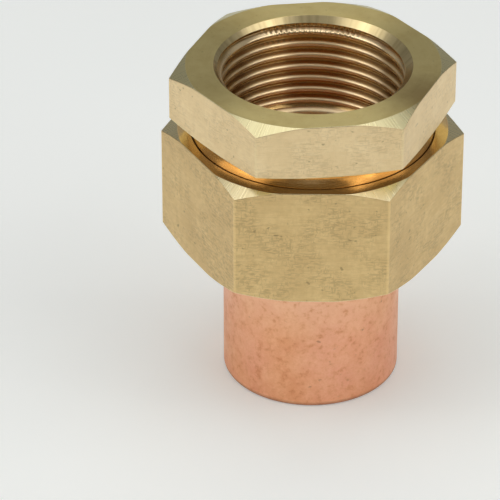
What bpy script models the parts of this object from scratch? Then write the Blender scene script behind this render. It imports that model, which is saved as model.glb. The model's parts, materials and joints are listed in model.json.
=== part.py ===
"""Pipe union: a brass female end, a union nut, a copper solder tail and a flat gasket.

Metres, +Z up. The origin is the centre of the copper tail's bottom rim, and every piece is coaxial with Z.
"""

import math
from typing import NamedTuple

import bmesh
import bpy

# Round surfaces
SEGMENTS = 48
WELD = 1e-6

# Levels along the axis, from the bottom rim up
TAIL_CUP_DEPTH = 0.0190
NUT_BOTTOM = 0.0211
NUT_SHOULDER = 0.0246
NUT_TOP = 0.0382
HEAD_BOTTOM = 0.0402
HEAD_TOP = 0.0480
FACE_GAP = 0.0003
FLANGE_THICKNESS = 0.0022
GASKET_THICKNESS = 0.0016

# Hexagons
NUT_ACROSS_FLATS = 0.0360
HEAD_ACROSS_FLATS = 0.03416
NUT_TURN = math.radians(0.0)
HEAD_TURN = math.radians(7.7)
HEX_OVERRUN = 0.0010

# Chamfers of the hexagons: radius of the flat face left inside, and slope
NUT_TOP_FACE_RADIUS = 0.01858
NUT_TOP_SLOPE = math.radians(25.5)
NUT_BOTTOM_FACE_RADIUS = 0.01816
NUT_BOTTOM_SLOPE = math.radians(27.6)
HEAD_TOP_FACE_RADIUS = 0.01739
HEAD_TOP_SLOPE = math.radians(24.8)
HEAD_BOTTOM_FACE_RADIUS = 0.01710
HEAD_BOTTOM_SLOPE = math.radians(13.0)

# Copper tail and waterway
TAIL_RADIUS = 0.0123
TAIL_CUP_RADIUS = 0.01118
TAIL_FLANGE_RADIUS = 0.0150
TAIL_RIM_CHAMFER = 0.0003
WATERWAY_RADIUS = 0.0102
GASKET_OUTER_RADIUS = 0.0148
GASKET_INNER_RADIUS = 0.0104

# Female end, outside
NECK_RADIUS = 0.0166
GROOVE_RADIUS = 0.0147
GROOVE_WIDTH = 0.0005
NECK_LENGTH = 0.0033
SPIGOT_LEAD = 0.0010

# Female end, inside
SOCKET_DRILL_RADIUS = 0.0120
SOCKET_DRILL_BOTTOM = 0.0322
SOCKET_THREAD_BOTTOM = 0.0328
SOCKET_MOUTH_RADIUS = 0.01357
DRILL_POINT_SLOPE = math.radians(31.0)

# Union nut, inside
NUT_BORE_RADIUS = 0.0126
NUT_RELIEF_RADIUS = 0.0169
NUT_RELIEF_HEIGHT = 0.0030
NUT_DRILL_RADIUS = 0.0152
NUT_MOUTH_DEPTH = 0.0016
NUT_MOUTH_RADIUS = 0.01687

# Threads: 55 degree pipe form, 14 turns per inch inside the head, 11 per inch on the union.
# The socket's cut has its ridges where the wall has its grooves, half a pitch from the wall's crests,
# and the wall's top crest is at SOCKET_BACK_CREST_Z on the +Y side, a quarter turn round from +X.
INCH = 0.0254
THREAD_HALF_ANGLE = math.radians(27.5)
THREAD_CLEARANCE = 0.0003


class Thread(NamedTuple):
    """A right-handed parallel thread; ridge_z is the height of one ridge's middle on the +X side."""

    major: float
    minor: float
    pitch: float
    ridge_z: float


SOCKET_PITCH = INCH / 14
UNION_PITCH = INCH / 11
SOCKET_BACK_CREST_Z = 0.04590
SOCKET_THREAD = Thread(0.01322, 0.01206, SOCKET_PITCH, SOCKET_BACK_CREST_Z + SOCKET_PITCH / 4)
SPIGOT_THREAD = Thread(0.0165, 0.0150, UNION_PITCH, 0.0310)
NUT_THREAD = Thread(
    SPIGOT_THREAD.major + THREAD_CLEARANCE,
    SPIGOT_THREAD.minor + THREAD_CLEARANCE,
    UNION_PITCH,
    SPIGOT_THREAD.ridge_z,
)

FLANGE_BOTTOM = NUT_SHOULDER + FACE_GAP
FLANGE_TOP = FLANGE_BOTTOM + FLANGE_THICKNESS
GASKET_BOTTOM = FLANGE_TOP + FACE_GAP
GASKET_TOP = GASKET_BOTTOM + GASKET_THICKNESS
SPIGOT_END = GASKET_TOP + FACE_GAP
NECK_BOTTOM = HEAD_BOTTOM - NECK_LENGTH
SPIGOT_THREAD_TOP = NECK_BOTTOM - GROOVE_WIDTH


def clear_scene():
    for item in list(bpy.data.objects):
        bpy.data.objects.remove(item, do_unlink=True)


def make_material(name, colour, roughness, metallic):
    material = bpy.data.materials.new(name)
    material.use_nodes = True
    material.diffuse_color = (*colour, 1.0)
    shader = material.node_tree.nodes["Principled BSDF"]
    shader.inputs["Base Color"].default_value = (*colour, 1.0)
    shader.inputs["Roughness"].default_value = roughness
    shader.inputs["Metallic"].default_value = metallic
    return material


def add_object(name, shape, material):
    """Weld a bmesh, face it outwards and put it in the scene as one object."""
    bmesh.ops.remove_doubles(shape, verts=shape.verts, dist=WELD)
    bmesh.ops.dissolve_degenerate(shape, edges=shape.edges, dist=WELD)
    bmesh.ops.recalc_face_normals(shape, faces=shape.faces)
    mesh = bpy.data.meshes.new(name)
    shape.to_mesh(mesh)
    shape.free()
    mesh.materials.append(material)
    mesh.shade_smooth()
    mesh.set_sharp_from_angle(angle=math.radians(30))
    item = bpy.data.objects.new(name, mesh)
    bpy.context.collection.objects.link(item)
    return item


def turned(name, outline, material, closed=False):
    """Spin an outline of (radius, height) points about Z; an open outline starts and ends on the axis."""
    shape = bmesh.new()
    corners = [shape.verts.new((radius, 0.0, height)) for radius, height in outline]
    edges = [shape.edges.new(pair) for pair in zip(corners, corners[1:])]
    if closed:
        edges.append(shape.edges.new((corners[-1], corners[0])))
    bmesh.ops.spin(
        shape,
        geom=corners + edges,
        axis=(0, 0, 1),
        cent=(0, 0, 0),
        steps=SEGMENTS,
        angle=math.tau,
        use_merge=True,
    )
    return add_object(name, shape, material)


def ridge_rows(thread):
    """The four kinks of one pitch as (height above the ridge's middle, radius)."""
    flank = (thread.major - thread.minor) * math.tan(THREAD_HALF_ANGLE)
    flat = (thread.pitch - 2 * flank) / 2
    return [
        (-flat / 2, thread.major),
        (flat / 2, thread.major),
        (flat / 2 + flank, thread.minor),
        (thread.pitch - flat / 2 - flank, thread.minor),
    ]


def thread_radius(thread, height, angle):
    """The radius of a threaded rod's surface at a height and an angle about Z."""
    lift = height - thread.ridge_z - thread.pitch * angle / math.tau
    rows = ridge_rows(thread)
    start = rows[0][0]
    lift = start + (lift - start) % thread.pitch
    rows.append((rows[0][0] + thread.pitch, thread.major))
    for (low, low_radius), (high, high_radius) in zip(rows, rows[1:]):
        if lift <= high:
            return low_radius + (high_radius - low_radius) * (lift - low) / (high - low)
    return thread.major


def threaded_rod(name, thread, bottom, top, material):
    """A closed threaded rod; its rows climb with the helix and stop flat at both ends."""
    shape = bmesh.new()
    first = math.floor((bottom - thread.ridge_z) / thread.pitch) - 1
    last = math.ceil((top - thread.ridge_z) / thread.pitch) + 1
    heights = [
        thread.ridge_z + turn * thread.pitch + rise
        for turn in range(first, last)
        for rise, _ in ridge_rows(thread)
    ]
    columns = []
    for step in range(SEGMENTS + 1):
        angle = math.tau * step / SEGMENTS
        column = []
        for height in heights:
            z = min(max(height + thread.pitch * angle / math.tau, bottom), top)
            radius = thread_radius(thread, z, angle)
            column.append(shape.verts.new((radius * math.cos(angle), radius * math.sin(angle), z)))
        columns.append(column)
    for left, right in zip(columns, columns[1:]):
        for row in range(len(heights) - 1):
            shape.faces.new((left[row], right[row], right[row + 1], left[row + 1]))
    bmesh.ops.remove_doubles(shape, verts=shape.verts, dist=WELD)
    bmesh.ops.dissolve_degenerate(shape, edges=shape.edges, dist=WELD)
    bmesh.ops.holes_fill(shape, edges=[edge for edge in shape.edges if edge.is_boundary])
    return add_object(name, shape, material)


def corner_radius(across_flats):
    return across_flats / 2 / math.cos(math.pi / 6)


def hexagon(name, across_flats, bottom, top, turn, material):
    """A hexagon prism with corners on the X axis before it is turned."""
    shape = bmesh.new()
    radius = corner_radius(across_flats)
    bmesh.ops.create_cone(shape, cap_ends=True, segments=6, radius1=radius, radius2=radius, depth=top - bottom)
    item = add_object(name, shape, material)
    item.location.z = (bottom + top) / 2
    item.rotation_euler.z = math.pi / 6 + turn
    return item


def chamfer_envelope(name, across_flats, bottom, top, material):
    """The double cone that a hexagon is turned to; bottom and top are (height, face radius, slope)."""
    bottom_z, bottom_radius, bottom_slope = bottom
    top_z, top_radius, top_slope = top
    reach = corner_radius(across_flats) + HEX_OVERRUN
    outline = [
        (0.0, bottom_z),
        (bottom_radius, bottom_z),
        (reach, bottom_z + (reach - bottom_radius) * math.tan(bottom_slope)),
        (reach, top_z - (reach - top_radius) * math.tan(top_slope)),
        (top_radius, top_z),
        (0.0, top_z),
    ]
    return turned(name, outline, material)


def combine(item, tool, operation):
    """Add a live Boolean to item and hide its tool."""
    modifier = item.modifiers.new(tool.name, "BOOLEAN")
    modifier.operation = operation
    modifier.solver = "EXACT"
    modifier.object = tool
    tool.hide_render = True
    tool.display_type = "WIRE"


def make_copper_tail(material):
    """The solder tail: a cup for the tube below, a waterway and a flange above."""
    stop = TAIL_CUP_DEPTH + (TAIL_CUP_RADIUS - WATERWAY_RADIUS)
    outline = [
        (TAIL_CUP_RADIUS + TAIL_RIM_CHAMFER, 0.0),
        (TAIL_RADIUS - TAIL_RIM_CHAMFER, 0.0),
        (TAIL_RADIUS, TAIL_RIM_CHAMFER),
        (TAIL_RADIUS, FLANGE_BOTTOM),
        (TAIL_FLANGE_RADIUS, FLANGE_BOTTOM),
        (TAIL_FLANGE_RADIUS, FLANGE_TOP),
        (WATERWAY_RADIUS, FLANGE_TOP),
        (WATERWAY_RADIUS, stop),
        (TAIL_CUP_RADIUS, TAIL_CUP_DEPTH),
        (TAIL_CUP_RADIUS, TAIL_RIM_CHAMFER),
    ]
    return turned("copper_tail", outline, material, closed=True)


def make_seat_gasket(material):
    outline = [
        (GASKET_INNER_RADIUS, GASKET_BOTTOM),
        (GASKET_OUTER_RADIUS, GASKET_BOTTOM),
        (GASKET_OUTER_RADIUS, GASKET_TOP),
        (GASKET_INNER_RADIUS, GASKET_TOP),
    ]
    return turned("seat_gasket", outline, material, closed=True)


def make_union_nut(material):
    nut = hexagon(
        "union_nut",
        NUT_ACROSS_FLATS,
        NUT_BOTTOM - HEX_OVERRUN,
        NUT_TOP + HEX_OVERRUN,
        NUT_TURN,
        material,
    )
    envelope = chamfer_envelope(
        "nut_envelope",
        NUT_ACROSS_FLATS,
        (NUT_BOTTOM, NUT_BOTTOM_FACE_RADIUS, NUT_BOTTOM_SLOPE),
        (NUT_TOP, NUT_TOP_FACE_RADIUS, NUT_TOP_SLOPE),
        material,
    )
    relief_top = NUT_SHOULDER + NUT_RELIEF_HEIGHT
    mouth_floor = NUT_TOP - NUT_MOUTH_DEPTH
    mouth_lead = NUT_MOUTH_RADIUS - NUT_DRILL_RADIUS
    bore_outline = [
        (0.0, NUT_BOTTOM - HEX_OVERRUN),
        (NUT_BORE_RADIUS, NUT_BOTTOM - HEX_OVERRUN),
        (NUT_BORE_RADIUS, NUT_SHOULDER),
        (NUT_RELIEF_RADIUS, NUT_SHOULDER),
        (NUT_RELIEF_RADIUS, relief_top),
        (NUT_DRILL_RADIUS, relief_top),
        (NUT_DRILL_RADIUS, mouth_floor - mouth_lead),
        (NUT_MOUTH_RADIUS, mouth_floor),
        (NUT_MOUTH_RADIUS, NUT_TOP + HEX_OVERRUN),
        (0.0, NUT_TOP + HEX_OVERRUN),
    ]
    bore = turned("nut_bore_cutter", bore_outline, material)
    tap = threaded_rod(
        "nut_thread_cutter",
        NUT_THREAD,
        relief_top - THREAD_CLEARANCE,
        mouth_floor + THREAD_CLEARANCE,
        material,
    )
    combine(nut, envelope, "INTERSECT")
    combine(nut, bore, "DIFFERENCE")
    combine(nut, tap, "DIFFERENCE")
    return nut


def make_spigot(material):
    """The male union thread with its lead chamfer, as a tool to be joined to the head."""
    spigot = threaded_rod("spigot_thread", SPIGOT_THREAD, SPIGOT_END, SPIGOT_THREAD_TOP, material)
    lead_radius = SPIGOT_THREAD.minor - FACE_GAP
    outline = [
        (0.0, SPIGOT_END - HEX_OVERRUN),
        (lead_radius - HEX_OVERRUN, SPIGOT_END - HEX_OVERRUN),
        (lead_radius + SPIGOT_LEAD + HEX_OVERRUN, SPIGOT_END + SPIGOT_LEAD + HEX_OVERRUN),
        (lead_radius + SPIGOT_LEAD + HEX_OVERRUN, HEAD_BOTTOM),
        (0.0, HEAD_BOTTOM),
    ]
    combine(spigot, turned("spigot_envelope", outline, material), "INTERSECT")
    return spigot


def make_female_end(material):
    head = hexagon(
        "female_end",
        HEAD_ACROSS_FLATS,
        HEAD_BOTTOM - HEX_OVERRUN,
        HEAD_TOP + HEX_OVERRUN,
        HEAD_TURN,
        material,
    )
    envelope = chamfer_envelope(
        "head_envelope",
        HEAD_ACROSS_FLATS,
        (HEAD_BOTTOM, HEAD_BOTTOM_FACE_RADIUS, HEAD_BOTTOM_SLOPE),
        (HEAD_TOP, HEAD_TOP_FACE_RADIUS, HEAD_TOP_SLOPE),
        material,
    )
    neck_outline = [
        (0.0, SPIGOT_THREAD_TOP - GROOVE_WIDTH),
        (GROOVE_RADIUS, SPIGOT_THREAD_TOP - GROOVE_WIDTH),
        (GROOVE_RADIUS, NECK_BOTTOM),
        (NECK_RADIUS, NECK_BOTTOM),
        (NECK_RADIUS, HEAD_BOTTOM + HEX_OVERRUN),
        (0.0, HEAD_BOTTOM + HEX_OVERRUN),
    ]
    neck = turned("neck_blank", neck_outline, material)
    point = SOCKET_DRILL_BOTTOM - (SOCKET_DRILL_RADIUS - WATERWAY_RADIUS) * math.tan(DRILL_POINT_SLOPE)
    mouth_lead = SOCKET_MOUTH_RADIUS - SOCKET_DRILL_RADIUS
    bore_outline = [
        (0.0, SPIGOT_END - HEX_OVERRUN),
        (WATERWAY_RADIUS, SPIGOT_END - HEX_OVERRUN),
        (WATERWAY_RADIUS, point),
        (SOCKET_DRILL_RADIUS, SOCKET_DRILL_BOTTOM),
        (SOCKET_DRILL_RADIUS, HEAD_TOP - mouth_lead),
        (SOCKET_MOUTH_RADIUS + HEX_OVERRUN, HEAD_TOP + HEX_OVERRUN),
        (0.0, HEAD_TOP + HEX_OVERRUN),
    ]
    bore = turned("socket_bore_cutter", bore_outline, material)
    tap = threaded_rod(
        "socket_thread_cutter", SOCKET_THREAD, SOCKET_THREAD_BOTTOM, HEAD_TOP + FACE_GAP, material
    )
    combine(head, envelope, "INTERSECT")
    combine(head, neck, "UNION")
    combine(head, make_spigot(material), "UNION")
    combine(head, bore, "DIFFERENCE")
    combine(head, tap, "DIFFERENCE")
    return head


def attach(child, parent):
    """Parent a piece to the one that carries it, where it stands."""
    child.parent = parent
    child.matrix_parent_inverse = parent.matrix_world.inverted()


def main():
    clear_scene()
    brass = make_material("satin_brass", (0.64, 0.47, 0.24), 0.34, 1.0)
    copper = make_material("dull_copper", (0.76, 0.40, 0.28), 0.50, 1.0)
    fibre = make_material("gasket_fibre", (0.13, 0.20, 0.17), 0.85, 0.0)
    tail = make_copper_tail(copper)
    gasket = make_seat_gasket(fibre)
    nut = make_union_nut(brass)
    female_end = make_female_end(brass)
    attach(gasket, tail)
    attach(nut, gasket)
    attach(female_end, gasket)


main()
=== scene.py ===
"""Looks of the pipe union: detailed brass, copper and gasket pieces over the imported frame.

Metres, +Z up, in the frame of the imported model. Each piece is a loft: one closed outline of (radius, height)
points for every direction round the axis, so that hexagon, chamfers, edge breaks and helical threads are all
part of one welded mesh.
"""

import json
import math
from typing import NamedTuple

import bmesh
import bpy
from mathutils import Matrix, Vector


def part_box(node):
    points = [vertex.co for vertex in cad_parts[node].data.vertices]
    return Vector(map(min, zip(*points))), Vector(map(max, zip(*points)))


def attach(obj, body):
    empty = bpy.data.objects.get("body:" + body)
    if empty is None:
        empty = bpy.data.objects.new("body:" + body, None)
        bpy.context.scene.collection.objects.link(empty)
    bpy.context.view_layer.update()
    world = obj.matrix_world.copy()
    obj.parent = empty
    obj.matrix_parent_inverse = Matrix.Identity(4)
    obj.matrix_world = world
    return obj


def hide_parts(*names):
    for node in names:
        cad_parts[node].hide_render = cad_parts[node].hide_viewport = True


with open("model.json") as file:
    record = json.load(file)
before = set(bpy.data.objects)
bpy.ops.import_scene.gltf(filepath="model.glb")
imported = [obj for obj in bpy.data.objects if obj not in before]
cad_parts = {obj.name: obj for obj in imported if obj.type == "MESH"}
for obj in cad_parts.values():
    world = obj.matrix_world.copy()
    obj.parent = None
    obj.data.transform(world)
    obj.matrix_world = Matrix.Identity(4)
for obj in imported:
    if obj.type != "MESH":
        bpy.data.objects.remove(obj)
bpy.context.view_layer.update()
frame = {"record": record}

# What the frame gives
MOUNTS = {mount["name"]: mount for mount in frame["record"]["mounts"]}
NUT_LOW, NUT_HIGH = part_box("union_nut")
HEAD_LOW, HEAD_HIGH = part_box("female_end")
TAIL_LOW, TAIL_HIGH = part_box("copper_tail")
GASKET_LOW, GASKET_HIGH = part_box("seat_gasket")
HEAD_FLAT = Vector(MOUNTS["head_wrench_flat"]["axis"])
HEAD_APOTHEM = Vector(MOUNTS["head_wrench_flat"]["pos_m"]).xy.length
HEAD_TURN = math.atan2(HEAD_FLAT.y, HEAD_FLAT.x) + math.pi / 2
NUT_APOTHEM = NUT_HIGH.y
SECTOR = math.pi / 3

# Outside of the hexagons, as in the design: radius of the flat face inside each chamfer, and slope
NUT_TOP_CHAMFER = (0.01858, math.radians(25.5))
NUT_BOTTOM_CHAMFER = (0.01816, math.radians(27.6))
HEAD_TOP_CHAMFER = (0.01739, math.radians(24.8))
HEAD_BOTTOM_CHAMFER = (0.01710, math.radians(13.0))
HEAD_BOTTOM = 0.0402

# Turned sizes, as in the design
TAIL_RADIUS = 0.0123
TAIL_CUP_RADIUS = 0.01118
TAIL_CUP_DEPTH = 0.0190
TAIL_FLANGE_THICKNESS = 0.0022
WATERWAY_RADIUS = 0.0102
GASKET_INNER_RADIUS = 0.0104
NECK_RADIUS = 0.01669
NECK_BOTTOM = 0.0369
GROOVE_RADIUS = 0.0147
GROOVE_WIDTH = 0.0005
SPIGOT_LEAD_RADIUS = 0.0147
SPIGOT_LEAD_HEIGHT = 0.0001
SOCKET_DRILL_RADIUS = 0.0120
SOCKET_DRILL_BOTTOM = 0.0322
SOCKET_POINT = 0.03112
SOCKET_THREAD_BOTTOM = 0.0328
SOCKET_MOUTH_RADIUS = 0.01357
SOCKET_MOUTH_DEPTH = 0.0003
NUT_BORE_RADIUS = 0.0126
NUT_SHOULDER = 0.0246
NUT_RELIEF_RADIUS = 0.0169
NUT_RELIEF_TOP = 0.0276
NUT_MOUTH_RADIUS = 0.01678
NUT_MOUTH_FLOOR = 0.0366
NUT_THREAD_MARGIN = 0.00005
RUNOUT_SLOPE = 2

# The neck's flare under the head: how far its start and its middle stand out, and how far down its middle
# and its end lie
FLARE_START_OUT = 0.00034
FLARE_MIDDLE_OUT = 0.00004
FLARE_MIDDLE_DOWN = 0.0005
FLARE_END_DOWN = 0.0017
FLARE_STEPS = 10

# Threads: a ridge is at the major radius, and ridge_z is the height of its middle on the +X side
INCH = 0.0254
FLANK = math.radians(27.5)
SOCKET_PITCH = INCH / 14
UNION_PITCH = INCH / 11


class Thread(NamedTuple):
    """A right-handed parallel thread with flat ridges and valleys whose edges are rounded."""

    pitch: float
    major: float
    minor: float
    ridge_z: float
    ridge_share: float
    ridge_round: float
    valley_round: float


SOCKET_THREAD = Thread(
    pitch=SOCKET_PITCH,
    major=0.01322,
    minor=0.01236,
    ridge_z=0.04581 + SOCKET_PITCH / 4,
    ridge_share=0.5,
    ridge_round=0.00012,
    valley_round=0.00045,
)
SPIGOT_THREAD = Thread(
    pitch=UNION_PITCH,
    major=0.0165,
    minor=0.0150,
    ridge_z=0.0310,
    ridge_share=0.5,
    ridge_round=0.00012,
    valley_round=0.00020,
)
NUT_THREAD = Thread(
    pitch=UNION_PITCH,
    major=0.0168,
    minor=0.0153,
    ridge_z=0.0310,
    ridge_share=0.5,
    ridge_round=0.00020,
    valley_round=0.00012,
)

# Rounding of the edges, from the crispest to the softest
MOUTH_EDGE = 0.00005
FACE_EDGE = 0.00006
NUT_MOUTH_EDGE = 0.00008
PLAIN_EDGE = 0.00010
GASKET_EDGE = 0.00015
WATERWAY_EDGE = 0.00015
BORE_EDGE = 0.00020
CORNER_ROUND = 0.00022
TUBE_EDGE = 0.00025
RELIEF_EDGE = 0.00040
TUBE_RIM_EDGE = 0.00045
CUP_STEP_EDGE = 0.00050

# Mesh: the least height of a chamfer, holding points beside rounded edges, steps, welding and sharp edges
EDGE_BREAK = 0.00007
HOLD = 0.00004
HOLD_SHARE = 0.04
ROUND_SHARE = 0.45
FILLET_STEPS = 4
THREAD_STEPS = 5
THREAD_BETWEEN = (0.33, 0.66)
FLAT_STEPS = 28
ROUND_STEPS = 240
TRIM_HALVINGS = 16
WELD = 1e-6
SHARP_ANGLE = math.radians(38)

# Base colours, as where the surface is clean and where it is tarnished
HEAD_DRAWN = (0.95, 0.75, 0.45), (0.84, 0.64, 0.36)
HEAD_MILLED = (0.84, 0.76, 0.45), (0.76, 0.66, 0.36)
HEAD_FACED = (0.76, 0.62, 0.27), (0.67, 0.52, 0.21)
HEAD_BORED = (0.75, 0.51, 0.25), (0.68, 0.44, 0.20)
HEAD_TAPPED = (1.0, 0.79, 0.49), (0.93, 0.70, 0.40)
NUT_DRAWN = (0.83, 0.615, 0.30), (0.69, 0.49, 0.23)
NUT_MILLED = (0.92, 0.79, 0.48), (0.84, 0.70, 0.40)
NUT_FACED = (0.76, 0.62, 0.33), (0.68, 0.53, 0.27)
NUT_ANNULUS = (0.89, 0.62, 0.29), (0.81, 0.54, 0.23)
NUT_BORED = (0.84, 0.64, 0.34), (0.76, 0.54, 0.27)
NUT_TAPPED = (0.84, 0.63, 0.34), (0.76, 0.53, 0.27)
COPPER = (0.96, 0.52, 0.30), (0.84, 0.385, 0.20)
FIBRE = (0.16, 0.24, 0.20), (0.07, 0.11, 0.09)
PAPER = (0.92, 0.945, 0.92), (0.945, 0.965, 0.945)

# What dirt, wear, painted shade and painted light do to a base colour, as factors for red, green and blue
# The next factor darkens scratches, specks and pits as dirt, and also paints shade on the copper tube's bottom
# rim
DIRT_AND_SHADE = (0.45, 0.45, 0.45)
SPECK = (0.5, 0.5, 0.5)
RUBBED = (1.16, 1.16, 1.16)
STAIN = (0.62, 0.54, 0.50)
# The next factor is painted shade in the socket thread's grooves
SOCKET_GROOVE_SHADE = (0.65, 0.56, 0.39)
COUNTERSINK = (0.66, 0.67, 0.57)
COUNTERSINK_STREAK = (0.44, 0.43, 0.36)
CHATTER_GAP = (0.44, 0.38, 0.30)
COPPER_PINK = (1.0, 0.94, 1.16)
# The next factor is painted light, which makes the copper tube paler towards its top
COPPER_PAINTED_LIGHT = (1.05, 1.23, 1.44)
COPPER_BURNT = (0.82, 0.70, 0.55)

# The brown stain at one corner of the head: its middle, its solid and its whole reach, and how ragged it is
HEAD_STAIN = (0.0152, -0.0080, HEAD_HIGH.z - 0.0002)
STAIN_SOLID = 0.0035
STAIN_REACH = 0.0085
STAIN_RAGGED = 0.004

# Where the looks change, as (from, to)
RUBBED_CORNER = (0.00016, 0.00006)  # inwards from a hexagon's corner
# The socket's grooves, where painted shade darkens the thread
GROOVE_DEPTH = (0.01245, 0.01282)  # radius in the socket, from a crest to a groove
FIRST_TURN_HEIGHT = (HEAD_HIGH.z - 0.00290, HEAD_HIGH.z - 0.00255)
COUNTERSINK_HEIGHT = (HEAD_HIGH.z - 0.00110, HEAD_HIGH.z - 0.00095)
# The back of the first turn, where the painted groove shade is lifted
FIRST_TURN_BACK_SIDE = (0.0020, 0.0080)  # Y on the first turn
CHATTERED_SIDE = (0.0108, 0.0118)  # Y on the first turn
# Heights over which painted light makes the copper tube paler towards its top
TUBE_PAINTED_LIGHT_HEIGHT = (0.010, 0.022)
# The bottom rim of the tube, darkened with painted shade where it meets the floor
TUBE_PAINTED_SHADE_RIM = (0.0007, 0.0002)  # height

# The socket's first turn: its chatter marks, and how much shallower its back part looks, which lifts the
# painted groove shade there as painted light where no ridge above shades it
CHATTERS_PER_TURN = 104
FIRST_TURN_SHADE_LIFT = 0.00042

# Camera, from the fit of the photographed corners: position, heading and tilt
CAMERA_POSITION = Vector((0.0, -0.45193, 0.30529))
CAMERA_YAW = math.radians(-1.088)
CAMERA_PITCH = math.radians(-32.447)
CAMERA_LENS = 275.81
CAMERA_CLIP = (0.05, 10.0)

# Room and floor: the room's radiance by direction, as (place, radiance), where place goes from 0 below and
# behind the object to 1 above and in front of it, along ROOM_AXIS
FLOOR_HALF = 1.5
FLOOR_GLOW = 0.18
ROOM_AXIS = CAMERA_POSITION.normalized()
ROOM_COLOUR = (0.98, 1.0, 0.98)
ROOM_RADIANCE = (
    (0.26, 0.24),
    (0.30, 0.17),
    (0.36, 0.17),
    (0.44, 0.32),
    (0.52, 0.30),
    (0.62, 0.14),
    (0.95, 0.16),
)


class Softbox(NamedTuple):
    """A rectangular light that faces the object; azimuth is 0 in front and 90 on the right, in degrees."""

    name: str
    azimuth: float
    elevation: float
    distance: float
    width: float
    height: float
    radiance: float


SOFTBOXES = (
    Softbox("overhead", 180, 87, 0.52, 0.50, 0.41, 1.14),
    Softbox("back", 180, 58, 0.60, 0.30, 0.20, 0.52),
    Softbox("back_low", 180, 33, 0.60, 0.38, 0.18, 0.17),
    Softbox("left", -73, 46.5, 0.60, 0.48, 0.33, 1.38),
    Softbox("left_lamp", -73, 47, 0.59, 0.09, 0.12, 2.3),
    Softbox("right", 70, 45, 0.60, 0.50, 0.34, 1.34),
    Softbox("right_lamp", 64, 49, 0.59, 0.08, 0.12, 2.1),
    Softbox("right_strip", 42, 32, 0.60, 0.09, 0.14, 1.45),
)


# --- Outlines ---------------------------------------------------------------------------------------------


def bend(start, middle, end, steps):
    """A quadratic curve from start to end that is drawn towards middle."""
    shares = [step / steps for step in range(steps + 1)]
    return [start * (1 - s) ** 2 + middle * 2 * s * (1 - s) + end * s**2 for s in shares]


def soften(before, corner, after, radius, steps):
    """A curve that rounds one corner of an outline, and the directions into it and out of it."""
    into = Vector(corner) - Vector(before)
    out = Vector(after) - Vector(corner)
    reach = min(radius * math.tan(into.angle(out) / 2), ROUND_SHARE * into.length, ROUND_SHARE * out.length)
    start = Vector(corner) - into.normalized() * reach
    end = Vector(corner) + out.normalized() * reach
    return bend(start, Vector(corner), end, steps), into, out


def fillet(before, corner, after, radius):
    """Points that round one corner of an outline, with a holding point on each side."""
    curve, into, out = soften(before, corner, after, radius, FILLET_STEPS)
    hold = min(HOLD, HOLD_SHARE * into.length, HOLD_SHARE * out.length)
    points = [curve[0] - into.normalized() * hold, *curve, curve[-1] + out.normalized() * hold]
    return [tuple(point) for point in points]


def outline(elements):
    """The closed outline of one direction, as points and the surface name that follows each point.

    An element is (surface, radius, height, rounding) for a corner, or (surface, points) for a run.
    """
    points, surfaces = [], []
    count = len(elements)
    for index, element in enumerate(elements):
        surface = element[0]
        previous_surface = elements[index - 1][0]
        if len(element) == 2:
            points.extend(element[1])
            surfaces.extend([surface] * len(element[1]))
            continue
        corner = element[1:3]
        before = last_point(elements[index - 1])
        after = first_point(elements[(index + 1) % count])
        rounded = fillet(before, corner, after, element[3])
        points.extend(rounded)
        surfaces.extend([previous_surface] + [surface] * (len(rounded) - 1))
    return points, surfaces


def first_point(element):
    return element[1][0] if len(element) == 2 else element[1:3]


def last_point(element):
    return element[1][-1] if len(element) == 2 else element[1:3]


def hexagon_stations(apothem, turn):
    """Directions round a hexagon with rounded corners, as (angle, distance to the outline)."""
    half_flat = (apothem - CORNER_ROUND) * math.tan(SECTOR / 2)
    edge = 1 - HOLD / half_flat
    inner = [-1 + 2 * step / FLAT_STEPS for step in range(1, FLAT_STEPS)]
    stations = []
    for side in range(6):
        facing = turn + SECTOR / 2 + side * SECTOR
        normal = Vector((math.cos(facing), math.sin(facing)))
        along = Vector((-normal.y, normal.x))
        for place in [-1, -edge, *inner, edge, 1]:
            stations.append(normal * apothem + along * half_flat * place)
        centre = normal * (apothem - CORNER_ROUND) + along * half_flat
        for step in range(1, FILLET_STEPS + 1):
            angle = facing + SECTOR * step / (FILLET_STEPS + 1)
            stations.append(centre + Vector((math.cos(angle), math.sin(angle))) * CORNER_ROUND)
    polar = [(math.atan2(point.y, point.x) % math.tau, point.length) for point in stations]
    return sorted(polar)


def round_stations():
    """Directions round a turned piece; it has no flats, so there is no distance to an outline."""
    return [(math.tau * step / ROUND_STEPS, None) for step in range(ROUND_STEPS)]


def chamfer_top(height, reach, chamfer):
    """The two corners of a hexagon's top edge in one direction: on the face, and on the flat."""
    face_radius, slope = chamfer
    drop = max(EDGE_BREAK, (reach - face_radius) * math.tan(slope))
    return (min(face_radius, reach - EDGE_BREAK), height), (reach, height - drop)


def chamfer_bottom(height, reach, chamfer):
    """The two corners of a hexagon's bottom edge in one direction: on the flat, and on the face."""
    (face_radius, _), (_, lifted) = chamfer_top(0.0, reach, chamfer)
    return (reach, height - lifted), (face_radius, height)


# --- Threads ----------------------------------------------------------------------------------------------


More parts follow.
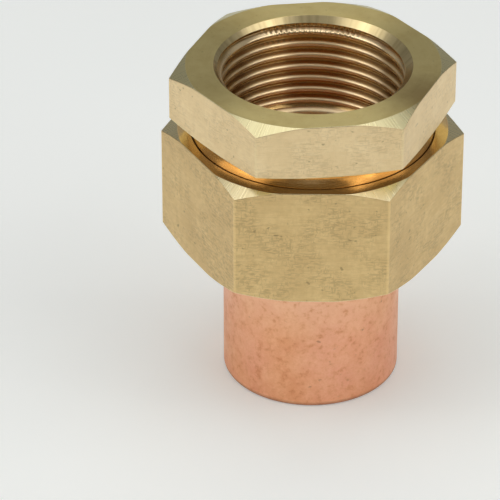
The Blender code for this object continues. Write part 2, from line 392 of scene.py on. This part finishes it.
def thread_form(thread):
    """One pitch of a thread from the middle of a ridge, as (height, radius) points that rise."""
    flank = (thread.major - thread.minor) * math.tan(FLANK)
    flats = thread.pitch - 2 * flank
    ridge = flats * thread.ridge_share / 2
    valley = flats * (1 - thread.ridge_share) / 2
    corners = [
        (0.0, thread.major, 0.0),
        (ridge, thread.major, thread.ridge_round),
        (ridge + flank, thread.minor, thread.valley_round),
        (ridge + flank + 2 * valley, thread.minor, thread.valley_round),
        (thread.pitch - ridge, thread.major, thread.ridge_round),
        (thread.pitch, thread.major, 0.0),
    ]
    points = [corners[0][:2]]
    for before, corner, after in zip(corners, corners[1:], corners[2:]):
        curve, _, _ = soften(before[:2], corner[:2], after[:2], corner[2], THREAD_STEPS)
        gap = curve[0] - Vector(points[-1])
        points.extend(tuple(Vector(points[-1]) + gap * share) for share in THREAD_BETWEEN)
        points.extend(tuple(point) for point in curve)
    return points + [corners[-1][:2]]


def form_radius(form, pitch, lift):
    """The radius of a thread's form at a height above a ridge's middle."""
    lift %= pitch
    for (low, low_radius), (high, high_radius) in zip(form, form[1:]):
        if low <= lift <= high:
            return low_radius + (high_radius - low_radius) * (lift - low) / max(high - low, WELD)
    return form[0][1]


def thread_run(thread, angle, bottom, top, limit):
    """A thread's wall from bottom to top in one direction; limit(height, radius) trims it."""
    form = thread_form(thread)
    climb = thread.ridge_z + thread.pitch * angle / math.tau
    first = math.floor((bottom - thread.ridge_z) / thread.pitch) - 2
    last = math.ceil((top - thread.ridge_z) / thread.pitch) + 1
    starts = [climb + turn * thread.pitch for turn in range(first, last)]
    heights = [min(max(start + height, bottom), top) for start in starts for height, _ in form[:-1]]

    def wall(z):
        radius = form_radius(form, thread.pitch, z - climb)
        return radius, limit(z, radius)

    return [(wall(z)[1], z) for z in meet_trims(heights, wall)]


def meet_trims(heights, wall):
    """Move the heights beside each place where a trim meets the thread onto that place."""
    moved = list(heights)
    trimmed = [abs(radius - cut) > WELD for radius, cut in map(wall, heights)]
    for index in range(len(heights) - 1):
        if trimmed[index] == trimmed[index + 1]:
            continue
        on_trim, on_thread = (index, index + 1) if trimmed[index] else (index + 1, index)
        low, high = heights[on_trim], heights[on_thread]
        for _ in range(TRIM_HALVINGS):
            middle = (low + high) / 2
            radius, cut = wall(middle)
            low, high = (middle, high) if abs(radius - cut) > WELD else (low, middle)
        moved[on_trim] = high
    return moved


def smooth_step(low, high, value):
    share = min(max((value - low) / (high - low), 0.0), 1.0)
    return share * share * (3 - 2 * share)


def socket_wall(height, radius):
    """The socket's thread fades out at its bottom and meets the mouth's countersink at its top."""
    share = smooth_step(SOCKET_THREAD_BOTTOM, SOCKET_THREAD_BOTTOM + SOCKET_PITCH, height)
    faded = SOCKET_DRILL_RADIUS + (radius - SOCKET_DRILL_RADIUS) * share
    return max(faded, SOCKET_MOUTH_RADIUS - (HEAD_HIGH.z - height))


def spigot_wall(height, radius):
    """The union thread has a lead at its end and a steep end at its groove."""
    lead = SPIGOT_LEAD_RADIUS + (height - HEAD_LOW.z)
    runout = GROOVE_RADIUS + (NECK_BOTTOM - GROOVE_WIDTH - height) * RUNOUT_SLOPE
    return min(radius, lead, runout)


def nut_wall(height, radius):
    """The nut's thread opens to its mouth above and to its relief below."""
    mouth = NUT_MOUTH_RADIUS - (NUT_MOUTH_FLOOR - height)
    relief = NUT_RELIEF_RADIUS - (height - NUT_RELIEF_TOP) * RUNOUT_SLOPE
    return max(radius, mouth, relief)


# --- Pieces -----------------------------------------------------------------------------------------------


def loft(name, stations, section, materials):
    """Join the outlines of all directions into one closed mesh and give each surface its material.

    The first direction comes again one turn later, so that a thread closes onto its next turn.
    """
    names = list(materials)
    shape = bmesh.new()
    columns = []
    first_angle, first_reach = stations[0]
    for angle, reach in [*stations, (first_angle + math.tau, first_reach)]:
        points, surfaces = outline(section(angle, reach))
        turn = Matrix.Rotation(angle, 3, "Z")
        columns.append([shape.verts.new(turn @ Vector((radius, 0.0, z))) for radius, z in points])
    rows = len(surfaces)
    for left, right in zip(columns, columns[1:]):
        for row in range(rows):
            above = (row + 1) % rows
            face = shape.faces.new((left[row], right[row], right[above], left[above]))
            face.material_index = names.index(surfaces[row])
    bmesh.ops.remove_doubles(shape, verts=shape.verts, dist=WELD)
    bmesh.ops.dissolve_degenerate(shape, edges=shape.edges, dist=WELD / 2)
    bmesh.ops.recalc_face_normals(shape, faces=shape.faces)
    mesh = bpy.data.meshes.new(name)
    shape.to_mesh(mesh)
    shape.free()
    for material in materials.values():
        mesh.materials.append(material)
    mesh.shade_smooth()
    mesh.set_sharp_from_angle(angle=SHARP_ANGLE)
    piece = bpy.data.objects.new(name, mesh)
    bpy.context.scene.collection.objects.link(piece)
    return piece


def neck_flare():
    """The neck curves outwards where it meets the head."""
    start = Vector((NECK_RADIUS + FLARE_START_OUT, HEAD_BOTTOM))
    middle = Vector((NECK_RADIUS + FLARE_MIDDLE_OUT, HEAD_BOTTOM - FLARE_MIDDLE_DOWN))
    end = Vector((NECK_RADIUS, HEAD_BOTTOM - FLARE_END_DOWN))
    return [tuple(point) for point in bend(start, middle, end, FLARE_STEPS)]


def head_section(angle, reach):
    face_edge, flat_top = chamfer_top(HEAD_HIGH.z, reach, HEAD_TOP_CHAMFER)
    flat_bottom, under_edge = chamfer_bottom(HEAD_BOTTOM, reach, HEAD_BOTTOM_CHAMFER)
    spigot_bottom = HEAD_LOW.z + SPIGOT_LEAD_HEIGHT
    spigot = thread_run(SPIGOT_THREAD, angle, spigot_bottom, NECK_BOTTOM - GROOVE_WIDTH, spigot_wall)
    socket_top = HEAD_HIGH.z - SOCKET_MOUTH_DEPTH
    socket = thread_run(SOCKET_THREAD, angle, SOCKET_THREAD_BOTTOM, socket_top, socket_wall)
    return [
        ("chamfer", *face_edge, FACE_EDGE),
        ("flat", *flat_top, PLAIN_EDGE),
        ("chamfer", *flat_bottom, PLAIN_EDGE),
        ("face", *under_edge, FACE_EDGE),
        ("bright", neck_flare()),
        ("face", NECK_RADIUS, NECK_BOTTOM, PLAIN_EDGE),
        ("bright", GROOVE_RADIUS, NECK_BOTTOM, PLAIN_EDGE),
        ("thread", list(reversed(spigot))),
        ("face", SPIGOT_LEAD_RADIUS, HEAD_LOW.z, FACE_EDGE),
        ("bright", WATERWAY_RADIUS, HEAD_LOW.z, WATERWAY_EDGE),
        ("bright", WATERWAY_RADIUS, SOCKET_POINT, BORE_EDGE),
        ("bright", SOCKET_DRILL_RADIUS, SOCKET_DRILL_BOTTOM, BORE_EDGE),
        ("thread", socket),
        ("face", SOCKET_MOUTH_RADIUS, HEAD_HIGH.z, MOUTH_EDGE),
    ]


def nut_section(angle, reach):
    face_edge, flat_top = chamfer_top(NUT_HIGH.z, reach, NUT_TOP_CHAMFER)
    flat_bottom, under_edge = chamfer_bottom(NUT_LOW.z, reach, NUT_BOTTOM_CHAMFER)
    bottom, top = NUT_RELIEF_TOP + NUT_THREAD_MARGIN, NUT_MOUTH_FLOOR - NUT_THREAD_MARGIN
    return [
        ("chamfer", *face_edge, FACE_EDGE),
        ("flat", *flat_top, PLAIN_EDGE),
        ("chamfer", *flat_bottom, PLAIN_EDGE),
        ("face", *under_edge, FACE_EDGE),
        ("bright", NUT_BORE_RADIUS, NUT_LOW.z, BORE_EDGE),
        ("face", NUT_BORE_RADIUS, NUT_SHOULDER, PLAIN_EDGE),
        ("bright", NUT_RELIEF_RADIUS, NUT_SHOULDER, RELIEF_EDGE),
        ("thread", thread_run(NUT_THREAD, angle, bottom, top, nut_wall)),
        ("bright", NUT_MOUTH_RADIUS, NUT_MOUTH_FLOOR, PLAIN_EDGE),
        ("annulus", NUT_MOUTH_RADIUS, NUT_HIGH.z, NUT_MOUTH_EDGE),
    ]


def tail_section(_angle, _reach):
    flange_bottom = TAIL_HIGH.z - TAIL_FLANGE_THICKNESS
    stop = TAIL_CUP_DEPTH + (TAIL_CUP_RADIUS - WATERWAY_RADIUS)
    return [
        ("tube", TAIL_RADIUS, TAIL_LOW.z, TUBE_RIM_EDGE),
        ("tube", TAIL_RADIUS, flange_bottom, TUBE_EDGE),
        ("tube", TAIL_HIGH.x, flange_bottom, TUBE_EDGE),
        ("tube", TAIL_HIGH.x, TAIL_HIGH.z, TUBE_EDGE),
        ("tube", WATERWAY_RADIUS, TAIL_HIGH.z, TUBE_EDGE),
        ("tube", WATERWAY_RADIUS, stop, CUP_STEP_EDGE),
        ("tube", TAIL_CUP_RADIUS, TAIL_CUP_DEPTH, CUP_STEP_EDGE),
        ("tube", TAIL_CUP_RADIUS, TAIL_LOW.z, TUBE_EDGE),
    ]


def gasket_section(_angle, _reach):
    return [
        ("fibre", GASKET_HIGH.x, GASKET_LOW.z, GASKET_EDGE),
        ("fibre", GASKET_HIGH.x, GASKET_HIGH.z, GASKET_EDGE),
        ("fibre", GASKET_INNER_RADIUS, GASKET_HIGH.z, PLAIN_EDGE),
        ("fibre", GASKET_INNER_RADIUS, GASKET_LOW.z, PLAIN_EDGE),
    ]


# --- Materials --------------------------------------------------------------------------------------------


def tinted(colour, tint):
    """A colour times a factor for each part, held at white."""
    return tuple(min(1.0, part * factor) for part, factor in zip(colour, tint))


class Recipe:
    """A Principled material built from procedural nodes in the piece's own coordinates.

    A noise's scale is in cells per metre, or per radian where it runs round the axis.
    """

    def __init__(self, name, metallic):
        self.material = bpy.data.materials.new(name)
        self.material.use_nodes = True
        self.tree = self.material.node_tree
        self.shader = self.tree.nodes["Principled BSDF"]
        self.shader.inputs["Metallic"].default_value = metallic
        self.place = self.node("ShaderNodeTexCoord").outputs["Object"]

    def node(self, kind, **inputs):
        made = self.tree.nodes.new(kind)
        for key, value in inputs.items():
            self.feed(made.inputs[key.replace("_", " ")], value)
        return made

    def feed(self, socket, value):
        if isinstance(value, bpy.types.NodeSocket):
            self.tree.links.new(value, socket)
        else:
            socket.default_value = value

    def maths(self, operation, first, second=0.0, third=0.0):
        made = self.tree.nodes.new("ShaderNodeMath")
        made.operation = operation
        for socket, value in zip(made.inputs, (first, second, third)):
            self.feed(socket, value)
        return made.outputs["Value"]

    def axes(self):
        """X, Y and Z of the place on the piece."""
        return self.node("ShaderNodeSeparateXYZ", Vector=self.place).outputs

    def turned_axes(self):
        """Distance from the axis, angle round it and height of the place on the piece."""
        x, y, z = self.axes()
        across = self.maths("MULTIPLY", x, x)
        along = self.maths("MULTIPLY", y, y)
        return self.maths("SQRT", self.maths("ADD", across, along)), self.maths("ARCTAN2", y, x), z

    def noise(self, scale, detail=2.0, roughness=0.5):
        """Noise with one scale for every axis, or with its own scale for each of X, Y and Z."""
        if isinstance(scale, tuple):
            stretched = self.node("ShaderNodeMapping", Vector=self.place, Scale=scale).outputs["Vector"]
            return self.noise_at(stretched, 1.0, detail, roughness)
        return self.noise_at(self.place, scale, detail, roughness)

    def turned_noise(self, scales, detail):
        """Noise with a scale each for distance from the axis, angle round it and height."""
        parts = [self.maths("MULTIPLY", part, scale) for part, scale in zip(self.turned_axes(), scales)]
        place = self.node("ShaderNodeCombineXYZ", X=parts[0], Y=parts[1], Z=parts[2]).outputs["Vector"]
        return self.noise_at(place, 1.0, detail, 0.5)

    def noise_at(self, place, scale, detail, roughness):
        made = self.node("ShaderNodeTexNoise", Vector=place, Scale=scale, Detail=detail, Roughness=roughness)
        return made.outputs["Fac"]

    def band(self, value, start, end, start_out=0.0, end_out=1.0):
        """value, mapped from start..end to start_out..end_out and held at both ends."""
        made = self.node(
            "ShaderNodeMapRange",
            Value=value,
            From_Min=start,
            From_Max=end,
            To_Min=start_out,
            To_Max=end_out,
        )
        return made.outputs["Result"]

    def blend(self, share, first, second):
        made = self.tree.nodes.new("ShaderNodeMix")
        made.data_type = "RGBA"
        self.feed(made.inputs["Factor"], share)
        for socket, value in ((made.inputs[6], first), (made.inputs[7], second)):
            self.feed(socket, (*value, 1.0) if isinstance(value, tuple) else value)
        return made.outputs[2]

    def over(self, colour, layer, value, start, end, most=1.0):
        """colour, with layer coming over it as value goes from start to end, up to a share of most."""
        return self.blend(self.band(value, start, end, 0.0, most), colour, layer)

    def bump(self, height, distance, strength, normal=None):
        made = self.node("ShaderNodeBump", Height=height, Distance=distance, Strength=strength)
        if normal is not None:
            self.feed(made.inputs["Normal"], normal)
        return made.outputs["Normal"]

    def round_the_axis(self):
        """Spread highlights across tool marks that run round the axis."""
        self.shader.inputs["Anisotropic Rotation"].default_value = 0.25
        tangent = self.tree.nodes.new("ShaderNodeTangent")
        tangent.direction_type = "RADIAL"
        tangent.axis = "Z"
        self.feed(self.shader.inputs["Tangent"], tangent.outputs["Tangent"])

    def stained(self, colour, place, brown):
        """colour, with a stain round a place that has a ragged edge."""
        gap = self.node("ShaderNodeVectorMath")
        gap.operation = "DISTANCE"
        self.feed(gap.inputs[0], self.place)
        self.feed(gap.inputs[1], place)
        ragged = self.noise(420, detail=4.0, roughness=0.65)
        reach = self.maths("MULTIPLY_ADD", ragged, STAIN_RAGGED, gap.outputs["Value"])
        return self.over(colour, brown, reach, STAIN_REACH, STAIN_SOLID, 0.75)

    def finish(self, colour, roughness, normal):
        self.feed(self.shader.inputs["Base Color"], colour)
        self.feed(self.shader.inputs["Roughness"], roughness)
        self.feed(self.shader.inputs["Normal"], normal)
        return self.material


def drawn_brass(name, colours, corner, roughness, wear, rub):
    """Hexagon bar as drawn: level lines, blotches, specks, patches of short scratches and rubbed corners.

    corner is the corners' distance from the axis; wear and rub are how much the scratches and corners show.
    """
    light, dark = colours
    dirt_and_shade = tinted(dark, DIRT_AND_SHADE)
    recipe = Recipe(name, metallic=1.0)
    lines = recipe.noise((260, 260, 5200), detail=3.0, roughness=0.6)
    grain = recipe.noise(3800)
    stains = recipe.noise(170, detail=4.0, roughness=0.6)
    blotches = recipe.noise(950, detail=3.0, roughness=0.6)
    specks = recipe.noise((1100, 1100, 1500), detail=1.0)
    patches = recipe.band(recipe.noise(210), 0.42, 0.60, 0.20, 1.0)
    dashes = recipe.band(recipe.noise((1200, 1200, 5600)), 0.50, 0.60)
    ticks = recipe.band(recipe.noise((5200, 5200, 1500)), 0.55, 0.66)
    scratches = recipe.maths("MULTIPLY", recipe.maths("MAXIMUM", dashes, ticks), patches)
    distance, _, _ = recipe.turned_axes()
    rub_start, rub_end = (corner - inside for inside in RUBBED_CORNER)
    colour = recipe.over(light, dark, stains, 0.35, 0.70)
    colour = recipe.over(colour, dark, blotches, 0.42, 0.66, 0.7)
    colour = recipe.over(colour, dark, lines, 0.36, 0.66, 0.35)
    colour = recipe.blend(recipe.maths("MULTIPLY", scratches, wear), colour, dirt_and_shade)
    colour = recipe.over(colour, dirt_and_shade, specks, 0.72, 0.78, 0.6)
    colour = recipe.over(colour, tinted(light, RUBBED), distance, rub_start, rub_end, rub)
    rough = recipe.band(lines, 0.3, 0.7, roughness - 0.05, roughness + 0.08)
    normal = recipe.bump(lines, distance=0.000012, strength=0.5)
    normal = recipe.bump(grain, distance=0.000010, strength=0.5, normal=normal)
    normal = recipe.bump(scratches, distance=-0.00002, strength=0.5, normal=normal)
    return recipe.finish(colour, rough, normal)


def turned_brass(name, colours, roughness, spread, stain=None):
    """A face or bore off the lathe: concentric tool marks, faint tarnish, and a brown stain at a place."""
    light, dark = colours
    recipe = Recipe(name, metallic=1.0)
    marks = recipe.turned_noise((11000, 1.2, 11000), detail=1.0)
    tarnish = recipe.noise(260, detail=4.0, roughness=0.65)
    specks = recipe.noise(2600, detail=1.0)
    colour = recipe.over(light, dark, tarnish, 0.42, 0.75)
    colour = recipe.over(colour, tinted(dark, SPECK), specks, 0.70, 0.80, 0.4)
    if stain is not None:
        colour = recipe.stained(colour, stain, tinted(dark, STAIN))
    rough = recipe.band(marks, 0.3, 0.7, roughness * 0.8, roughness * 1.25)
    normal = recipe.bump(marks, distance=0.000006, strength=0.4)
    recipe.shader.inputs["Anisotropic"].default_value = spread
    recipe.round_the_axis()
    return recipe.finish(colour, rough, normal)


def tapped_brass(name, colours):
    """The socket's thread and countersink: bored crests, grooves darkened with painted shade that is lifted on
    the back of the first turn, and chatter on the first turn.
    """
    light, dark = colours
    recipe = Recipe(name, metallic=1.0)
    _, y, height = recipe.axes()
    distance, angle, _ = recipe.turned_axes()
    mouth = recipe.band(height, *COUNTERSINK_HEIGHT)
    first_turn = recipe.maths("SUBTRACT", recipe.band(height, *FIRST_TURN_HEIGHT), mouth)
    first_turn_back = recipe.maths("MULTIPLY", first_turn, recipe.band(y, *FIRST_TURN_BACK_SIDE))
    chattered = recipe.maths("MULTIPLY", first_turn_back, recipe.band(y, *CHATTERED_SIDE))
    wave = recipe.maths("SINE", recipe.maths("MULTIPLY", angle, CHATTERS_PER_TURN))
    chatter = recipe.maths("MULTIPLY", wave, chattered)
    gaps = recipe.maths("MULTIPLY", recipe.band(chatter, -1.0, -0.2, 0.38, 0.0), chattered)
    streaks = recipe.band(recipe.turned_noise((60, 16, 60), detail=3.0), 0.45, 0.65, 0.0, 0.5)
    streaks = recipe.maths("MULTIPLY", streaks, mouth)
    # Painted light: on the back of the first turn the grooves count as shallower, so less painted shade falls
    # on them, as no ridge above shades them
    depth = recipe.maths("MULTIPLY_ADD", first_turn_back, -FIRST_TURN_SHADE_LIFT, distance)
    groove = recipe.band(depth, *GROOVE_DEPTH)
    marks = recipe.turned_noise((9000, 1.2, 9000), detail=1.0)
    tarnish = recipe.noise(420, detail=3.0, roughness=0.6)
    colour = recipe.over(light, dark, tarnish, 0.35, 0.70)
    # Painted shade: the grooves are darkened, as shade falls in the thread's recesses
    colour = recipe.blend(groove, colour, tinted(dark, SOCKET_GROOVE_SHADE))
    colour = recipe.blend(mouth, colour, tinted(light, COUNTERSINK))
    colour = recipe.blend(streaks, colour, tinted(dark, COUNTERSINK_STREAK))
    colour = recipe.blend(gaps, colour, tinted(dark, CHATTER_GAP))
    rough = recipe.band(groove, 0.0, 1.0, 0.31, 0.24)
    rough = recipe.maths("MULTIPLY_ADD", first_turn_back, -0.08, rough)
    rough = recipe.maths("MULTIPLY_ADD", mouth, recipe.maths("SUBTRACT", 0.28, rough), rough)
    normal = recipe.bump(marks, distance=0.000003, strength=0.08)
    normal = recipe.bump(chatter, distance=0.00006, strength=0.8, normal=normal)
    recipe.feed(recipe.shader.inputs["Anisotropic"], recipe.band(mouth, 0.0, 1.0, 0.9, 0.3))
    recipe.round_the_axis()
    return recipe.finish(colour, rough, normal)


def milled_brass(name, colours, roughness, stain=None):
    """A chamfer with short tool chatter running down its slope, and a brown stain at a place."""
    light, dark = colours
    recipe = Recipe(name, metallic=1.0)
    chatter = recipe.turned_noise((60, 95, 60), detail=2.0)
    grain = recipe.noise(3000)
    colour = recipe.over(light, dark, chatter, 0.35, 0.65)
    if stain is not None:
        colour = recipe.stained(colour, stain, tinted(dark, STAIN))
    rough = recipe.band(chatter, 0.3, 0.7, roughness * 0.8, roughness * 1.3)
    normal = recipe.bump(chatter, distance=0.00003, strength=0.5)
    normal = recipe.bump(grain, distance=0.000008, strength=0.4, normal=normal)
    return recipe.finish(colour, rough, normal)


def bare_copper(name, colours, roughness):
    """Drawn copper tube: matt and mottled by handling, with lines along it and pits, painted light that makes
    it paler towards the top, and painted shade on its bottom rim where it meets the floor.
    """
    light, dark = colours
    dirt_and_shade = tinted(dark, DIRT_AND_SHADE)
    recipe = Recipe(name, metallic=1.0)
    _, _, height = recipe.axes()
    mottle = recipe.noise(360, detail=6.0, roughness=0.74)
    flecks = recipe.noise(1150, detail=4.0, roughness=0.65)
    blush = recipe.noise(90)
    lines = recipe.noise((2600, 2600, 90))
    pits = recipe.noise((620, 620, 980))
    grain = recipe.noise(3200, detail=3.0, roughness=0.6)
    handled = recipe.band(mottle, 0.42, 0.58, 0.12, 0.62)
    handled = recipe.maths("MULTIPLY", recipe.band(flecks, 0.50, 0.66), handled)
    pitted = recipe.band(pits, 0.70, 0.76)
    colour = recipe.over(light, dark, mottle, 0.36, 0.66)
    colour = recipe.over(colour, tinted(light, COPPER_PINK), blush, 0.40, 0.65, 0.6)
    colour = recipe.over(colour, dark, grain, 0.42, 0.72, 0.45)
    # Painted light: the tube turns paler towards its top
    colour = recipe.over(colour, tinted(light, COPPER_PAINTED_LIGHT), height, *TUBE_PAINTED_LIGHT_HEIGHT, 0.75)
    colour = recipe.blend(handled, colour, tinted(dark, COPPER_BURNT))
    # Painted shade: the bottom rim, where the tube stands on the floor, is darkened
    colour = recipe.over(colour, dirt_and_shade, height, *TUBE_PAINTED_SHADE_RIM, 0.75)
    colour = recipe.over(colour, dirt_and_shade, pits, 0.70, 0.76, 0.6)
    rough = recipe.band(mottle, 0.3, 0.7, roughness - 0.06, roughness + 0.08)
    normal = recipe.bump(lines, distance=0.000010, strength=0.35)
    normal = recipe.bump(grain, distance=0.000014, strength=0.5, normal=normal)
    normal = recipe.bump(pitted, distance=-0.00004, strength=0.6, normal=normal)
    return recipe.finish(colour, rough, normal)


def gasket_fibre(name, colours):
    """Compressed fibre sheet: short matted fibres over a dull ground."""
    light, dark = colours
    recipe = Recipe(name, metallic=0.0)
    fibres = recipe.noise((2200, 700, 4000), detail=3.0, roughness=0.7)
    cloud = recipe.noise(600, detail=3.0)
    colour = recipe.over(light, dark, cloud, 0.35, 0.65)
    colour = recipe.over(colour, light, fibres, 0.55, 0.75, 0.5)
    rough = recipe.band(fibres, 0.3, 0.7, 0.75, 0.92)
    return recipe.finish(colour, rough, recipe.bump(fibres, distance=0.00004, strength=0.5))


def paper_floor(name, colours):
    """Pale paper with a faint cloud and tooth; a little glow keeps its shadows open."""
    first, second = colours
    recipe = Recipe(name, metallic=0.0)
    cloud = recipe.noise(9)
    tooth = recipe.noise(2500)
    colour = recipe.over(first, second, cloud, 0.3, 0.7)
    rough = recipe.band(tooth, 0.3, 0.7, 0.70, 0.80)
    recipe.shader.inputs["Emission Color"].default_value = (1.0, 1.0, 1.0, 1.0)
    recipe.shader.inputs["Emission Strength"].default_value = FLOOR_GLOW
    return recipe.finish(colour, rough, recipe.bump(tooth, distance=0.00002, strength=0.2))


# --- Assembly ---------------------------------------------------------------------------------------------


def head_looks():
    corner = HEAD_APOTHEM / math.cos(SECTOR / 2)
    return {
        "flat": drawn_brass("head_drawn_brass", HEAD_DRAWN, corner, roughness=0.40, wear=0.22, rub=0.15),
        "chamfer": milled_brass("head_milled_brass", HEAD_MILLED, roughness=0.30, stain=HEAD_STAIN),
        "face": turned_brass("head_turned_face", HEAD_FACED, roughness=0.36, spread=0.85, stain=HEAD_STAIN),
        "bright": turned_brass("head_turned_bright", HEAD_BORED, roughness=0.20, spread=0.3),
        "thread": tapped_brass("head_tapped_brass", HEAD_TAPPED),
    }


def nut_looks():
    corner = NUT_APOTHEM / math.cos(SECTOR / 2)
    return {
        "flat": drawn_brass("nut_drawn_brass", NUT_DRAWN, corner, roughness=0.42, wear=0.36, rub=0.45),
        "chamfer": milled_brass("nut_milled_brass", NUT_MILLED, roughness=0.30),
        "face": turned_brass("nut_turned_face", NUT_FACED, roughness=0.30, spread=0.7),
        "annulus": turned_brass("nut_turned_annulus", NUT_ANNULUS, roughness=0.20, spread=0.3),
        "bright": turned_brass("nut_turned_bright", NUT_BORED, roughness=0.16, spread=0.3),
        "thread": turned_brass("nut_thread_brass", NUT_TAPPED, roughness=0.20, spread=0.4),
    }


def build_pieces():
    head_stations = hexagon_stations(HEAD_APOTHEM, HEAD_TURN)
    nut_stations = hexagon_stations(NUT_APOTHEM, 0.0)
    tail_looks = {"tube": bare_copper("bare_copper", COPPER, roughness=0.42)}
    gasket_looks = {"fibre": gasket_fibre("gasket_fibre", FIBRE)}
    head = loft("female_end_brass", head_stations, head_section, head_looks())
    nut = loft("union_nut_brass", nut_stations, nut_section, nut_looks())
    tail = loft("solder_tail_copper", round_stations(), tail_section, tail_looks)
    gasket = loft("seat_gasket_ring", round_stations(), gasket_section, gasket_looks)
    plan = [
        (head, "head", "female_end", "head_brass"),
        (nut, "nut", "union_nut", "nut_brass"),
        (tail, "tail", "copper_tail", "tail_copper"),
        (gasket, "gasket", "seat_gasket", "gasket_fibre"),
    ]
    for piece, body, node, slot in plan:
        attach(piece, body)
        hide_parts(node)


def build_floor():
    shape = bmesh.new()
    bmesh.ops.create_grid(shape, x_segments=8, y_segments=8, size=FLOOR_HALF)
    mesh = bpy.data.meshes.new("floor")
    shape.to_mesh(mesh)
    shape.free()
    mesh.materials.append(paper_floor("floor_paper", PAPER))
    floor = bpy.data.objects.new("floor", mesh)
    bpy.context.scene.collection.objects.link(floor)


def build_light(box):
    turn, lift = math.radians(box.azimuth), math.radians(box.elevation)
    away = Vector((math.sin(turn) * math.cos(lift), -math.cos(turn) * math.cos(lift), math.sin(lift)))
    light = bpy.data.lights.new(box.name, "AREA")
    light.shape = "RECTANGLE"
    light.size = box.width
    light.size_y = box.height
    light.energy = math.pi * box.radiance * box.width * box.height
    lamp = bpy.data.objects.new(box.name, light)
    lamp.location = away * box.distance + Vector((0, 0, HEAD_HIGH.z / 2))
    lamp.rotation_euler = (-away).to_track_quat("-Z", "Y").to_euler()
    bpy.context.scene.collection.objects.link(lamp)


def build_world():
    """A dim room that is brightest in a belt square to ROOM_AXIS."""
    world = bpy.data.worlds.new("studio")
    bpy.context.scene.world = world
    world.use_nodes = True
    tree = world.node_tree
    background = tree.nodes["Background"]
    background.inputs["Color"].default_value = (*ROOM_COLOUR, 1.0)
    direction = tree.nodes.new("ShaderNodeTexCoord").outputs["Generated"]
    facing = tree.nodes.new("ShaderNodeVectorMath")
    facing.operation = "DOT_PRODUCT"
    facing.inputs[1].default_value = ROOM_AXIS
    tree.links.new(direction, facing.inputs[0])
    place = tree.nodes.new("ShaderNodeMapRange")
    place.inputs["From Min"].default_value = -1.0
    tree.links.new(facing.outputs["Value"], place.inputs["Value"])
    ramp = tree.nodes.new("ShaderNodeValToRGB")
    stops = ramp.color_ramp.elements
    while len(stops) < len(ROOM_RADIANCE):
        stops.new(0.5)
    for stop, (position, radiance) in zip(stops, ROOM_RADIANCE):
        stop.position = position
        stop.color = (radiance, radiance, radiance, 1.0)
    tree.links.new(place.outputs["Result"], ramp.inputs["Fac"])
    tree.links.new(ramp.outputs["Color"], background.inputs["Strength"])


def build_camera():
    """The photograph's viewpoint: position, heading and tilt as fitted."""
    lens = bpy.data.cameras.new("camera")
    lens.lens = CAMERA_LENS
    lens.clip_start, lens.clip_end = CAMERA_CLIP
    camera = bpy.data.objects.new("camera", lens)
    level = math.cos(CAMERA_PITCH)
    ahead = Vector((math.sin(CAMERA_YAW) * level, math.cos(CAMERA_YAW) * level, math.sin(CAMERA_PITCH)))
    camera.location = CAMERA_POSITION
    camera.rotation_euler = ahead.to_track_quat("-Z", "Y").to_euler()
    bpy.context.scene.collection.objects.link(camera)
    bpy.context.scene.camera = camera


def main():
    bpy.context.scene.view_settings.view_transform = "Standard"
    build_pieces()
    build_floor()
    build_world()
    for box in SOFTBOXES:
        build_light(box)
    build_camera()


main()
